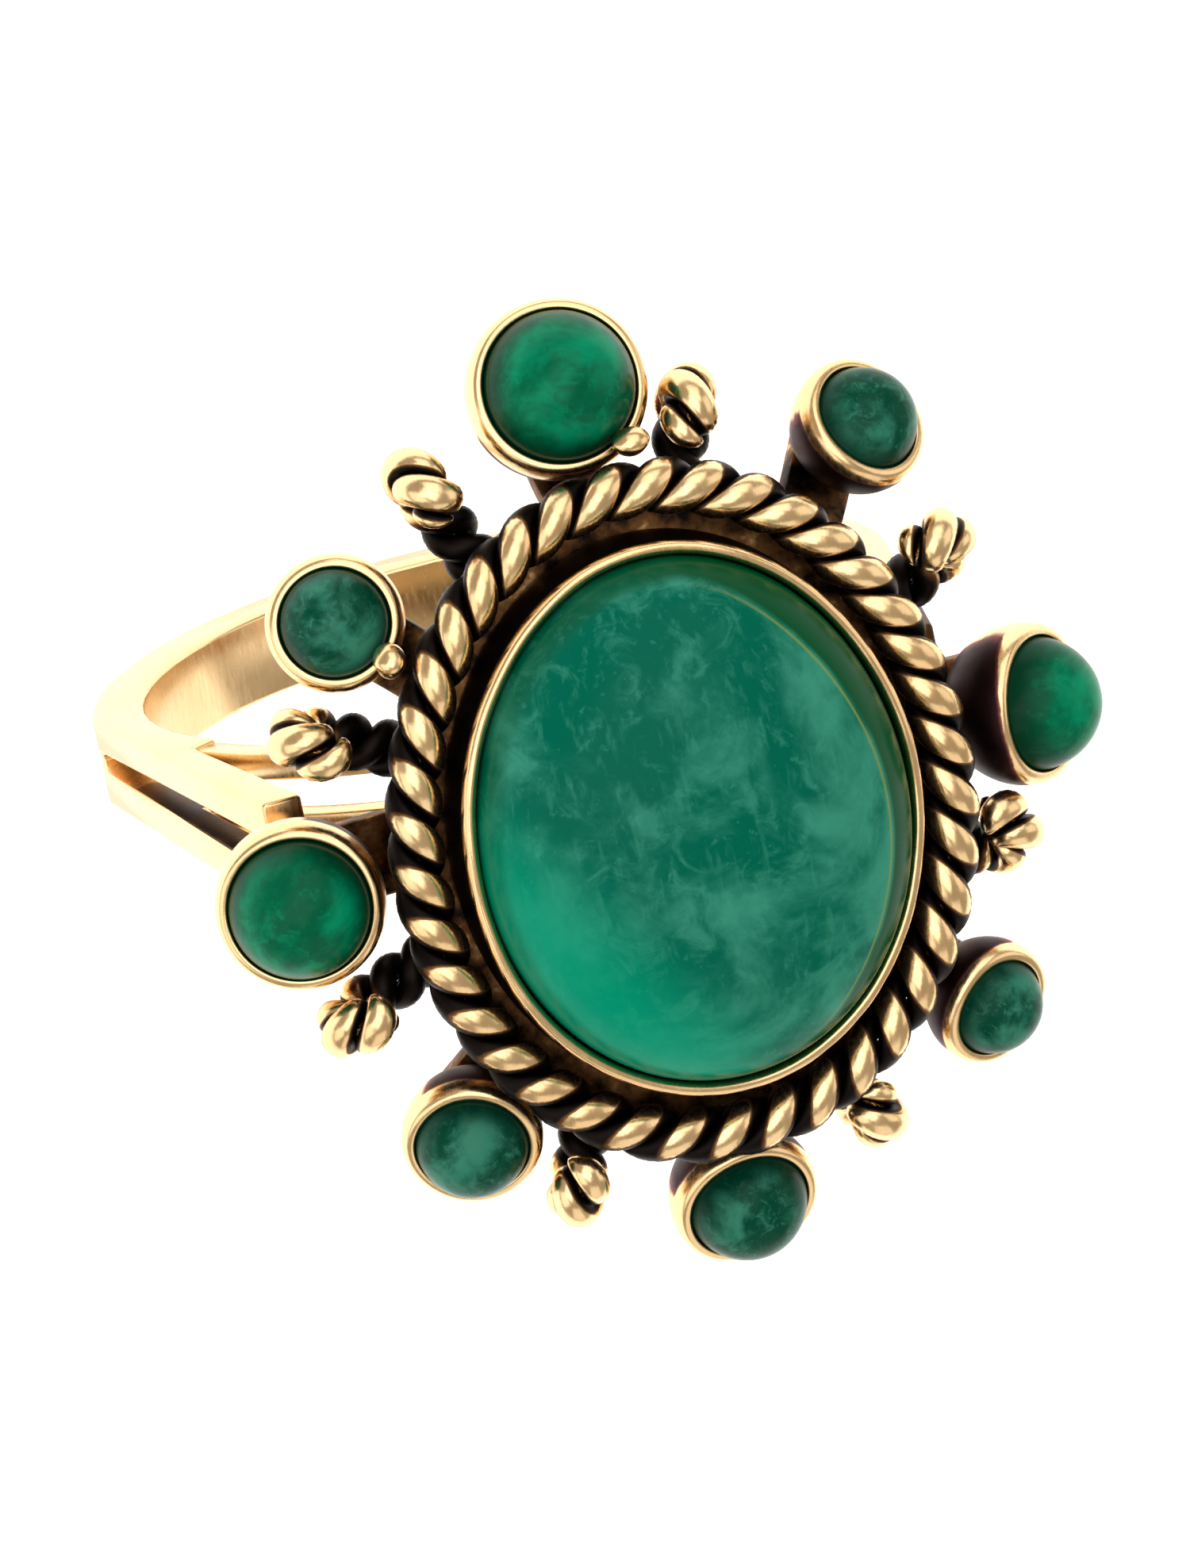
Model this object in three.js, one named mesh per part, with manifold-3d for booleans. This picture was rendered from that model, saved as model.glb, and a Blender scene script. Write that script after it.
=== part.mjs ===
// Cocktail ring: an oval cabochon in a rope border, ringed by eight small cabochons in cups
// and eight curled wire scrolls, on a shank whose shoulders are split into rails.
// Millimetres. +Z runs out through the head, +Y along the finger, and the origin is the
// centre of the finger hole.
import * as THREE from 'three';
import { mergeVertices } from 'three/addons/utils/BufferGeometryUtils.js';
import Module from 'manifold-3d';

const wasm = await Module();
wasm.setup();

// Soldered and set pieces stand this far apart, so that each stays its own solid.
const solderGap = 0.03;

// Shank: solid at the bottom, split into two rails on each side.
const fingerRadius = 8.65;
const shankThickness = 1.3;
const shankWidth = 2.1;
const shoulderWidth = 3.0;
const flareStartHeight = -3.0;
const slotWidthLow = 0.5;
const slotWidthHigh = 0.95;
const slotStartAngle = 108;
const railThickness = 1.0;
const railReach = { east: fingerRadius - 0.7, west: fingerRadius + 0.3 };
const shoulderStartAngle = { east: 80, west: 100 };

// Two thin rails that close the finger circle under the head.
const fingerRailThickness = 0.7;
const fingerRailWidth = 0.7;
const fingerRailSpacing = 0.85;
const fingerRailEndAngle = 67;

// Head: everything above the shank is centred on this offset along the finger.
const headOffset = -0.3;
const eggTaper = 0.02;
const underGalleryHeight = 5.8;
const trayBottom = fingerRadius + underGalleryHeight;
const trayThickness = 0.52;
const trayLip = 0.21;

const rimSemi = { x: 5.65, y: 6.78 };
const bezelHeight = 1.8;
const bezelWall = 0.36;
const seatWidth = 0.75;
const seatHeight = 0.46;
const seatEdge = { x: 1.05, y: 1.28 };
const girdleDrop = 0.35;
const girdleBand = 0.2;
const domeHeight = 3.2;

const strandRadius = 0.33;
const strandOffset = strandRadius + 0.035;
const ropeTurns = 19;
const ropeBezelGap = { x: 0.19, y: 0.42 };

// Saddle: the tapering wall between the tray and the finger rails.
const saddleTopSemi = { x: rimSemi.x - 0.15, y: rimSemi.y - 0.38 };
const saddleFootSemi = { x: fingerRadius / 2, y: shankWidth + 0.3 };
const saddleWall = 0.5;

// Arms: flat straps that carry the cups. The east and west ones lie level on the shoulders.
const armWidth = 1.7;
const shoulderArmWidth = 2.0;
const armThickness = 0.5;
const armBendRun = 1.0;
const armLevelRun = 0.4;
const armStartGap = 0.25;
const armEndMargin = 0.25;

// Small cups. Bearings are degrees from +X towards +Y, and outset is from the rope's outer
// edge to the middle of the cup's rim.
const cupRimHeight = trayBottom - 0.05;
const cupWall = 0.29;
const cupDepthRatio = 1.15;
const stoneSink = 0.4;
const stoneGirdle = 0.35;
const stoneDomeRatio = 1.08;
const satellites = [
  { place: 'north', bearing: 92.5, outset: 1.85, stone: 3.75, tilt: 20 },
  { place: 'northeast', bearing: 49, outset: 2.33, stone: 2.7, tilt: 40 },
  { place: 'east', bearing: -1, outset: 2.29, stone: 3.3, tilt: 42 },
  { place: 'southeast', bearing: -45.8, outset: 2.13, stone: 2.5, tilt: 28 },
  { place: 'south', bearing: -90.3, outset: 1.63, stone: 3.0, tilt: 27 },
  { place: 'southwest', bearing: -132.5, outset: 1.57, stone: 2.8, tilt: 28 },
  { place: 'west', bearing: 181.3, outset: 2.02, stone: 3.5, tilt: 18 },
  { place: 'northwest', bearing: 137.9, outset: 1.64, stone: 2.7, tilt: 20 },
];

// Scrolls: twisted wire that leaves from under the rope and curls up. Lean turns the curl
// about its own outward line, and outset is from the rope's edge to the curl's centre.
const scrollStrandRadius = 0.34;
const curlRadius = 0.7;
const curlSweep = 215;
const scrollPitch = 1.8;
const scrollStartGap = 0.35;
const scrolls = [
  { place: 'north_northeast', bearing: 74.5, outset: 0.7, lean: 10 },
  { place: 'east_northeast', bearing: 26, outset: 1.0, lean: 35 },
  { place: 'east_southeast', bearing: -24.5, outset: 0.65, lean: 45 },
  { place: 'south_southeast', bearing: -69, outset: 0.55, lean: 0 },
  { place: 'south_southwest', bearing: -114.5, outset: 0.8, lean: -12 },
  { place: 'west_southwest', bearing: -159.5, outset: 1.35, lean: 0 },
  { place: 'west_northwest', bearing: 155.2, outset: 1.25, lean: 8 },
  { place: 'north_northwest', bearing: 115.5, outset: 1.3, lean: 0 },
];

// Solder granules between a cup's rim and the rope.
const granules = [
  { place: 'north', bearing: 86, radius: 0.3, rise: -0.15, outset: 0.38 },
  { place: 'northwest', bearing: 139, radius: 0.38, rise: -0.15, outset: 0.42 },
];

const degree = Math.PI / 180;
const ropeRadius = strandRadius + strandOffset;
const trayTop = trayBottom + trayThickness;
const ropeHeight = trayTop + solderGap + ropeRadius;
const ropeSemi = {
  x: rimSemi.x + ropeBezelGap.x + ropeRadius,
  y: rimSemi.y + ropeBezelGap.y + ropeRadius,
};
const ropeOuterSemi = { x: ropeSemi.x + ropeRadius, y: ropeSemi.y + ropeRadius };
const traySemi = { x: ropeSemi.x + trayLip, y: ropeSemi.y + trayLip };
const backOpeningSemi = { x: rimSemi.x - seatEdge.x, y: rimSemi.y - seatEdge.y };
const saddleFootHeight = fingerRadius * 0.8;
const armHeight = trayBottom - solderGap - armThickness / 2;

const gold = { color: 0xd9b878, roughness: 0.28, metalness: 1 };
const darkGold = { color: 0x3a2c1c, roughness: 0.5, metalness: 0.7 };
const emerald = { color: 0x0a6b4f, roughness: 0.12, metalness: 0 };
const clearEmerald = { color: 0x07512f, roughness: 0.1, metalness: 0 };

const group = new THREE.Group();

function addPiece(name, geometry, look) {
  const mesh = new THREE.Mesh(geometry, new THREE.MeshStandardMaterial(look));
  mesh.name = name;
  group.add(mesh);
}

// One closed skin over a row of equal outlines, joined end to end or capped.
function skin(outlines, joined) {
  const around = outlines[0].length;
  const positions = [];
  outlines.forEach((outline) => outline.forEach((p) => positions.push(p.x, p.y, p.z)));
  const faces = [];
  const lastRow = joined ? outlines.length : outlines.length - 1;
  for (let row = 0; row < lastRow; row += 1) {
    const next = (row + 1) % outlines.length;
    for (let side = 0; side < around; side += 1) {
      const beside = (side + 1) % around;
      const a = row * around + side;
      const b = row * around + beside;
      const c = next * around + beside;
      const d = next * around + side;
      faces.push(a, b, c, a, c, d);
    }
  }
  if (!joined) {
    [0, outlines.length - 1].forEach((row, end) => {
      const middle = new THREE.Vector3();
      outlines[row].forEach((p) => middle.addScaledVector(p, 1 / around));
      const centre = positions.length / 3;
      positions.push(middle.x, middle.y, middle.z);
      for (let side = 0; side < around; side += 1) {
        const a = row * around + side;
        const b = row * around + ((side + 1) % around);
        if (end === 0) faces.push(centre, b, a);
        else faces.push(centre, a, b);
      }
    });
  }
  return faceOutwards(positions, faces);
}

function faceOutwards(positions, faces) {
  let volume = 0;
  const corner = (index) => new THREE.Vector3().fromArray(positions, index * 3);
  for (let i = 0; i < faces.length; i += 3) {
    const a = corner(faces[i]);
    volume += a.dot(corner(faces[i + 1]).cross(corner(faces[i + 2])));
  }
  if (volume < 0) {
    for (let i = 0; i < faces.length; i += 3) {
      [faces[i + 1], faces[i + 2]] = [faces[i + 2], faces[i + 1]];
    }
  }
  const geometry = new THREE.BufferGeometry();
  geometry.setAttribute('position', new THREE.Float32BufferAttribute(positions, 3));
  geometry.setIndex(faces);
  geometry.computeVertexNormals();
  return geometry;
}

function toSolid(geometry) {
  const plain = geometry.clone();
  plain.deleteAttribute('normal');
  plain.deleteAttribute('uv');
  const welded = mergeVertices(plain, 1e-5);
  return new wasm.Manifold(new wasm.Mesh({
    numProp: 3,
    vertProperties: new Float32Array(welded.attributes.position.array),
    triVerts: new Uint32Array(welded.index.array),
  }));
}

function fromSolid(solid) {
  const mesh = solid.getMesh();
  const geometry = new THREE.BufferGeometry();
  geometry.setAttribute('position', new THREE.BufferAttribute(mesh.vertProperties, 3));
  geometry.setIndex(new THREE.BufferAttribute(mesh.triVerts, 1));
  geometry.computeVertexNormals();
  return geometry;
}

// Flat outline in X and Z, given a thickness along Y.
function plateAlongY(points, width) {
  const shape = new THREE.Shape(points.map(([x, z]) => new THREE.Vector2(x, z)));
  const geometry = new THREE.ExtrudeGeometry(shape, { depth: width, bevelEnabled: false });
  geometry.rotateX(Math.PI / 2);
  geometry.translate(0, width / 2, 0);
  return geometry;
}

// Flat outline in Y and Z, given a thickness along X.
function plateAlongX(points, width) {
  const shape = new THREE.Shape(points.map(([y, z]) => new THREE.Vector2(y, z)));
  const geometry = new THREE.ExtrudeGeometry(shape, { depth: width, bevelEnabled: false });
  const basis = new THREE.Matrix4().makeBasis(
    new THREE.Vector3(0, 1, 0),
    new THREE.Vector3(0, 0, 1),
    new THREE.Vector3(1, 0, 0),
  );
  geometry.applyMatrix4(basis);
  geometry.translate(-width / 2, 0, 0);
  return geometry;
}

// Point on the finger circle's family, measured from the head's direction.
function onCircle(radius, angle) {
  return [radius * Math.sin(angle * degree), radius * Math.cos(angle * degree)];
}

function ovalPoint(semi, angle, height) {
  const x = semi.x * Math.cos(angle) * (1 - eggTaper * Math.sin(angle));
  return new THREE.Vector3(x, headOffset + semi.y * Math.sin(angle), height);
}

// Distance from the head's centre to an oval's edge at a bearing in degrees.
function ovalReach(semi, bearing) {
  const across = Math.cos(bearing * degree) / semi.x;
  const along = Math.sin(bearing * degree) / semi.y;
  return 1 / Math.hypot(across, along);
}

// Oval angles that step evenly along the edge.
function evenAngles(semi, count) {
  const fine = 1440;
  const lengths = [0];
  for (let i = 1; i <= fine; i += 1) {
    const before = ovalPoint(semi, ((i - 1) / fine) * 2 * Math.PI, 0);
    const after = ovalPoint(semi, (i / fine) * 2 * Math.PI, 0);
    lengths.push(lengths[i - 1] + before.distanceTo(after));
  }
  const angles = [];
  let at = 0;
  for (let i = 0; i < count; i += 1) {
    const wanted = (i / count) * lengths[fine];
    while (lengths[at + 1] < wanted) at += 1;
    const part = (wanted - lengths[at]) / (lengths[at + 1] - lengths[at]);
    angles.push(((at + part) / fine) * 2 * Math.PI);
  }
  return angles;
}

// Oval ring from a section of insets and heights.
function ovalRing(section, steps) {
  const outlines = evenAngles(rimSemi, steps).map((angle) => section.map(([semi, height]) => (
    ovalPoint(semi, angle, height)
  )));
  return skin(outlines, true);
}

function shrink(semi, inset) {
  return { x: semi.x - inset, y: semi.y - inset };
}

// Place in the upright plane through the head's centre at a bearing.
function atBearing(bearing, reach, height, sideways = 0) {
  const c = Math.cos(bearing * degree);
  const s = Math.sin(bearing * degree);
  return new THREE.Vector3(reach * c - sideways * s, headOffset + reach * s + sideways * c, height);
}

function roundSection(centre, axisA, axisB, radiusAt, sides) {
  const outline = [];
  for (let i = 0; i < sides; i += 1) {
    const angle = (i / sides) * 2 * Math.PI;
    const radius = radiusAt(angle);
    outline.push(centre.clone()
      .addScaledVector(axisA, radius * Math.cos(angle))
      .addScaledVector(axisB, radius * Math.sin(angle)));
  }
  return outline;
}

function cupReach({ bearing, outset }) {
  return ovalReach(ropeOuterSemi, bearing) + outset;
}

// Lowest corner of a cup, as reach and height in the cup's own upright plane.
function cupFoot(satellite) {
  const tilt = satellite.tilt * degree;
  const corners = cupProfile(satellite.stone / 2).map(([radius, height]) => new THREE.Vector2(
    cupReach(satellite) + radius * Math.cos(tilt) + height * Math.sin(tilt),
    cupRimHeight + height * Math.cos(tilt) - radius * Math.sin(tilt),
  ));
  return corners.reduce((lowest, corner) => (corner.y < lowest.y ? corner : lowest));
}

function isOnShoulder(satellite) {
  return Math.abs(Math.sin(satellite.bearing * degree)) < 0.1;
}

// Half-length of the saddle across the finger at a height.
function saddleReach(height) {
  const share = (height - saddleFootHeight) / (trayBottom - saddleFootHeight);
  return saddleFootSemi.x + share * (saddleTopSemi.x - saddleFootSemi.x);
}

// Centre line of one arm: it leaves under the tray, drops, and runs out along the cup's base.
function armLine(satellite) {
  if (isOnShoulder(satellite)) {
    const foot = cupFoot(satellite);
    const height = foot.y - solderGap - armThickness / 2;
    const start = saddleReach(height + armThickness / 2) + solderGap;
    const end = Math.max(railReach[satellite.place], foot.x + armEndMargin);
    return [new THREE.Vector2(start, height), new THREE.Vector2(end, height)];
  }
  const tilt = satellite.tilt * degree;
  const cupRadius = satellite.stone / 2 + cupWall;
  const drop = cupDepthRatio * cupRadius + solderGap + armThickness / 2;
  const foot = new THREE.Vector2(
    cupReach(satellite) - drop * Math.sin(tilt),
    cupRimHeight - drop * Math.cos(tilt),
  );
  const along = new THREE.Vector2(Math.cos(tilt), -Math.sin(tilt));
  const contact = foot.clone().addScaledVector(along, -0.5 * cupRadius);
  const bend = contact.clone().addScaledVector(along, -armBendRun);
  const tip = foot.clone().addScaledVector(along, 0.5 * cupRadius);
  const start = new THREE.Vector2(
    ovalReach(saddleTopSemi, satellite.bearing) + solderGap + armStartGap,
    armHeight,
  );
  const under = start.clone().add(new THREE.Vector2(armLevelRun, 0));
  return [start, ...smooth(under, bend, contact), tip];
}

// Quadratic curve pulled towards its middle control point.
function smooth(from, control, to) {
  const steps = 6;
  const points = [];
  for (let i = 0; i <= steps; i += 1) {
    const t = i / steps;
    points.push(from.clone().lerp(control, t).lerp(control.clone().lerp(to, t), t));
  }
  return points;
}

function strapNormals(line) {
  return line.map((point, i) => {
    const before = line[Math.max(i - 1, 0)];
    const after = line[Math.min(i + 1, line.length - 1)];
    const run = after.clone().sub(before).normalize();
    return new THREE.Vector2(-run.y, run.x);
  });
}

// Height of the rails' tops under the arm on one side.
function railTop(place) {
  const satellite = satellites.find((entry) => entry.place === place);
  return cupFoot(satellite).y - armThickness - 2 * solderGap;
}

// Shank.
function buildShank() {
  const outerRadius = fingerRadius + shankThickness;
  const crotchRadius = fingerRadius + fingerRailThickness + solderGap;
  const side = (sign, place) => {
    const height = railTop(place);
    const [crotchX, crotchZ] = onCircle(crotchRadius, fingerRailEndAngle);
    return {
      tops: [
        [sign * railReach[place], height],
        [sign * (railReach[place] - railThickness), height],
      ],
      crotch: [sign * crotchX, crotchZ],
    };
  };
  const right = side(1, 'east');
  const left = side(-1, 'west');
  const steps = 36;
  const arc = (radius, from, to) => {
    const points = [];
    for (let i = 0; i <= steps; i += 1) {
      points.push(onCircle(radius, from + ((to - from) * i) / steps));
    }
    return points;
  };
  const outline = [
    ...right.tops,
    right.crotch,
    ...arc(fingerRadius, fingerRailEndAngle, 360 - fingerRailEndAngle),
    left.crotch,
    ...left.tops.reverse(),
    ...arc(outerRadius, 360 - shoulderStartAngle.west, shoulderStartAngle.east),
  ];
  const body = toSolid(plateAlongY(outline, 2 * shoulderWidth));
  const top = trayBottom;
  const half = shankWidth / 2;
  const halfTop = shoulderWidth / 2;
  const low = -2 * outerRadius;
  const widths = toSolid(plateAlongX([
    [-half, low],
    [half, low],
    [half, flareStartHeight],
    [halfTop, top],
    [-halfTop, top],
    [-half, flareStartHeight],
  ], 3 * outerRadius));
  const slotFoot = fingerRadius * Math.cos(slotStartAngle * degree);
  const slot = toSolid(plateAlongX([
    [-slotWidthLow / 2, slotFoot + slotWidthLow / 2],
    [-slotWidthLow / 4, slotFoot],
    [slotWidthLow / 4, slotFoot],
    [slotWidthLow / 2, slotFoot + slotWidthLow / 2],
    [slotWidthHigh / 2, top],
    [-slotWidthHigh / 2, top],
  ], 4 * outerRadius));
  return fromSolid(body.intersect(widths).subtract(slot));
}
addPiece('shank', buildShank(), gold);

// Finger rails.
function buildFingerRail(side) {
  const radius = fingerRadius + fingerRailThickness;
  const end = fingerRailEndAngle - solderGap / fingerRadius / degree;
  const steps = 24;
  const outline = [];
  for (let i = 0; i <= steps; i += 1) {
    outline.push(onCircle(radius, -end + (2 * end * i) / steps));
  }
  for (let i = steps; i >= 0; i -= 1) {
    outline.push(onCircle(fingerRadius, -end + (2 * end * i) / steps));
  }
  const rail = plateAlongY(outline, fingerRailWidth);
  rail.translate(0, (side * (fingerRailSpacing + fingerRailWidth)) / 2, 0);
  return fromSolid(toSolid(rail));
}
addPiece('finger_rail_north', buildFingerRail(1), gold);
addPiece('finger_rail_south', buildFingerRail(-1), gold);

// Saddle, trimmed underneath to the finger rails' curve.
function buildSaddle() {
  const topHeight = trayBottom - solderGap;
  const wall = ovalRing([
    [shrink(saddleTopSemi, saddleWall), topHeight],
    [saddleTopSemi, topHeight],
    [saddleFootSemi, saddleFootHeight],
    [shrink(saddleFootSemi, saddleWall), saddleFootHeight],
  ], 40);
  const radius = fingerRadius + fingerRailThickness + solderGap;
  const finger = new THREE.CylinderGeometry(radius, radius, 4 * traySemi.y, 144);
  return fromSolid(toSolid(wall).subtract(toSolid(finger)));
}
addPiece('gallery_saddle', buildSaddle(), darkGold);

// Tray that the bezel and the rope stand on, open behind the stone.
addPiece('rope_tray', ovalRing([
  [backOpeningSemi, trayBottom],
  [traySemi, trayBottom],
  [traySemi, trayTop],
  [backOpeningSemi, trayTop],
], 40), darkGold);

// Bezel, seat and centre stone.
const bezelBottom = trayTop + solderGap;
const rimHeight = trayTop + bezelHeight + solderGap;
addPiece('center_bezel', ovalRing([
  [shrink(rimSemi, bezelWall), bezelBottom],
  [rimSemi, bezelBottom],
  [rimSemi, rimHeight - 0.16],
  [shrink(rimSemi, 0.1), rimHeight],
  [shrink(rimSemi, bezelWall - 0.08), rimHeight],
  [shrink(rimSemi, bezelWall), rimHeight - 0.1],
], 48), gold);

const seatOuter = shrink(rimSemi, bezelWall + solderGap);
addPiece('bezel_seat', ovalRing([
  [shrink(seatOuter, seatWidth), bezelBottom],
  [seatOuter, bezelBottom],
  [seatOuter, bezelBottom + seatHeight],
  [shrink(seatOuter, seatWidth), bezelBottom + seatHeight],
], 40), darkGold);

function buildCentreStone() {
  const base = bezelBottom + seatHeight + solderGap;
  const girdle = rimHeight - girdleDrop;
  const levels = [1, 0.97, 0.9, 0.79, 0.64, 0.46, 0.24, 0.08];
  const steps = 44;
  const angles = evenAngles(rimSemi, steps);
  const outlineAt = (share, height) => angles.map((angle) => (
    ovalPoint({ x: seatOuter.x * share, y: seatOuter.y * share }, angle, height)
  ));
  const outlines = [outlineAt(0.95, base), outlineAt(1, base + girdleBand)];
  levels.forEach((share) => {
    outlines.push(outlineAt(share, girdle + domeHeight * Math.sqrt(1 - share ** 2.4)));
  });
  return skin(outlines, false);
}
addPiece('emerald_center', buildCentreStone(), emerald);

// Rope: two strands wound round one another.
function ropeStrand(phase) {
  const steps = ropeTurns * 8;
  const centres = evenAngles(ropeSemi, steps).map((angle, i) => {
    const core = ovalPoint(ropeSemi, angle, ropeHeight);
    const ahead = ovalPoint(ropeSemi, angle + 0.001, ropeHeight).sub(core).normalize();
    const outward = new THREE.Vector3(ahead.y, -ahead.x, 0);
    const turn = phase + (i / steps) * ropeTurns * 2 * Math.PI;
    const spoke = outward.multiplyScalar(Math.cos(turn)).add(new THREE.Vector3(0, 0, Math.sin(turn)));
    return { spoke, point: core.addScaledVector(spoke, strandOffset) };
  });
  const outlines = centres.map(({ spoke, point }, i) => {
    const before = centres[(i + steps - 1) % steps].point;
    const after = centres[(i + 1) % steps].point;
    const run = after.clone().sub(before).normalize();
    const axisA = spoke.clone().addScaledVector(run, -spoke.dot(run)).normalize();
    const axisB = run.clone().cross(axisA);
    return roundSection(point, axisA, axisB, () => strandRadius, 6);
  });
  return skin(outlines, true);
}
addPiece('rope_strand_a', ropeStrand(0), gold);
addPiece('rope_strand_b', ropeStrand(Math.PI), gold);

// Small stones, cups and arms.
function lathe(profile) {
  const steps = 18;
  return new THREE.LatheGeometry(profile.map(([r, z]) => new THREE.Vector2(r, z)), steps);
}

// A lathe turns about Y, so it is laid over to the cup's own axis.
function layOnCupAxis(geometry, satellite) {
  const { bearing, tilt } = satellite;
  geometry.rotateX(Math.PI / 2);
  geometry.rotateY(tilt * degree);
  geometry.rotateZ(bearing * degree);
  const seat = atBearing(bearing, cupReach(satellite), cupRimHeight);
  geometry.translate(seat.x, seat.y, seat.z);
  return fromSolid(toSolid(geometry));
}

function cupProfile(stoneRadius) {
  const inner = stoneRadius + solderGap;
  const outer = stoneRadius + cupWall;
  const depth = cupDepthRatio * outer;
  return [
    [0, -depth],
    [0.45 * outer, -depth],
    [0.78 * outer, -0.72 * depth],
    [0.97 * outer, -0.38 * depth],
    [outer, -0.14],
    [outer - 0.09, 0],
    [inner + 0.06, 0],
    [inner, -0.1],
    [inner, -stoneSink - stoneGirdle],
    [0, -stoneSink - stoneGirdle],
  ];
}

function stoneProfile(stoneRadius) {
  const base = -stoneSink - stoneGirdle + solderGap;
  const dome = stoneDomeRatio * stoneRadius;
  const arc = [70, 48, 26].map((angle) => (
    [stoneRadius * Math.sin(angle * degree), -stoneSink + dome * Math.cos(angle * degree)]
  ));
  return [[0, base], [0.92 * stoneRadius, base], [stoneRadius, -stoneSink], ...arc, [0, dome - stoneSink]];
}

function buildArm(satellite) {
  const line = armLine(satellite);
  const normals = strapNormals(line);
  const half = (isOnShoulder(satellite) ? shoulderArmWidth : armWidth) / 2;
  const outlines = line.map((point, i) => {
    const lift = normals[i].clone().multiplyScalar(armThickness / 2);
    const top = point.clone().add(lift);
    const under = point.clone().sub(lift);
    return [
      atBearing(satellite.bearing, top.x, top.y, -half),
      atBearing(satellite.bearing, top.x, top.y, half),
      atBearing(satellite.bearing, under.x, under.y, half),
      atBearing(satellite.bearing, under.x, under.y, -half),
    ];
  });
  return skin(outlines, false);
}

satellites.forEach((satellite) => {
  const stoneRadius = satellite.stone / 2;
  addPiece(`stone_${satellite.place}`, layOnCupAxis(lathe(stoneProfile(stoneRadius)), satellite), clearEmerald);
  addPiece(`cup_${satellite.place}`, layOnCupAxis(lathe(cupProfile(stoneRadius)), satellite), gold);
  addPiece(`arm_${satellite.place}`, buildArm(satellite), darkGold);
});

// Scrolls: a two-strand twist swept as one figure-of-eight section.
function buildScroll({ bearing, outset, lean }) {
  const wireRadius = 2 * scrollStrandRadius;
  const curlReach = ovalReach(ropeOuterSemi, bearing) + outset;
  const runHeight = trayBottom - solderGap - wireRadius;
  const startReach = ovalReach(saddleTopSemi, bearing) + scrollStartGap;
  const line = [];
  const runSteps = 12;
  for (let i = 0; i < runSteps; i += 1) {
    line.push([startReach + ((curlReach - startReach) * i) / runSteps, 0]);
  }
  const curlSteps = 20;
  for (let i = 0; i <= curlSteps; i += 1) {
    const angle = (-90 + (curlSweep * i) / curlSteps) * degree;
    line.push([curlReach + curlRadius * Math.cos(angle), curlRadius * (1 + Math.sin(angle))]);
  }
  const leaning = lean * degree;
  const points = line.map(([reach, rise]) => atBearing(
    bearing,
    reach,
    runHeight + rise * Math.cos(leaning),
    rise * Math.sin(leaning),
  ));
  const across = atBearing(bearing, 0, -Math.sin(leaning), Math.cos(leaning));
  across.y -= headOffset;
  let travelled = 0;
  const outlines = points.map((point, i) => {
    const before = points[Math.max(i - 1, 0)];
    const after = points[Math.min(i + 1, points.length - 1)];
    if (i > 0) travelled += point.distanceTo(before);
    const run = after.clone().sub(before).normalize();
    const upward = run.clone().cross(across).normalize();
    const turn = (travelled / scrollPitch) * 2 * Math.PI;
    const axisA = across.clone().multiplyScalar(Math.cos(turn)).addScaledVector(upward, Math.sin(turn));
    const axisB = run.clone().cross(axisA);
    const radiusAt = (angle) => scrollStrandRadius * (1.4 + 0.6 * Math.cos(2 * angle));
    return roundSection(point, axisA, axisB, radiusAt, 8);
  });
  return skin(outlines, false);
}
scrolls.forEach((scroll) => addPiece(`scroll_${scroll.place}`, buildScroll(scroll), gold));

granules.forEach(({ place, bearing, radius, rise, outset }) => {
  const ball = new THREE.SphereGeometry(radius, 10, 8);
  const seat = atBearing(bearing, ovalReach(ropeOuterSemi, bearing) + outset, ropeHeight + rise);
  ball.translate(seat.x, seat.y, seat.z);
  addPiece(`solder_granule_${place}`, fromSolid(toSolid(ball)), gold);
});

export default group;
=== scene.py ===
import math
import bpy
from mathutils import Matrix, Vector


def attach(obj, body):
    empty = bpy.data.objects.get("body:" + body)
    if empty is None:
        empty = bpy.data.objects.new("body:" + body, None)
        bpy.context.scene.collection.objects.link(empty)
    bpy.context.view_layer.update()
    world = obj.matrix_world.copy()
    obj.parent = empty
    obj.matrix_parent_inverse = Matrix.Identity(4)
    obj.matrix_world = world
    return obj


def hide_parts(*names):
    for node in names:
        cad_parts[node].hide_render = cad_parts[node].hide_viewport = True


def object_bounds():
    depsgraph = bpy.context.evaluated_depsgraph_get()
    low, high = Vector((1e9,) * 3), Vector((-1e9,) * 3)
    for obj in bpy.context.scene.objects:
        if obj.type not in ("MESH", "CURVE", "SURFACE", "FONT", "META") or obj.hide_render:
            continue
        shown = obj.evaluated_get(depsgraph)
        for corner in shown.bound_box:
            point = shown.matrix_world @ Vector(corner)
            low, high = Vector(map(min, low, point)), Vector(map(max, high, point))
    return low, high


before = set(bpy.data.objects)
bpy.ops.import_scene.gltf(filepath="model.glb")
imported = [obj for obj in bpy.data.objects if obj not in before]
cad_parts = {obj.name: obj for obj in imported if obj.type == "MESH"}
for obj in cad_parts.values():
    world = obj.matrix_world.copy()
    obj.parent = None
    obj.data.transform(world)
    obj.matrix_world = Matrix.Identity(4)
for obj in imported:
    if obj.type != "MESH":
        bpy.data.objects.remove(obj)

mm = 0.001
weld = 0.001 * mm  # points closer than this are one point
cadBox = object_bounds()

cameraSettings = {
    "right": (0.9398, -0.2004, 0.2768),
    "up": (0.2589, 0.9462, -0.1942),
    "back": (-0.2230, 0.2542, 0.9411),
    "distance": 420 * mm,
    "aside": 2.35 * mm,
    "below": 2.70 * mm,
    "lens": 394.6,
    "sensor": 36,
}


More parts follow.
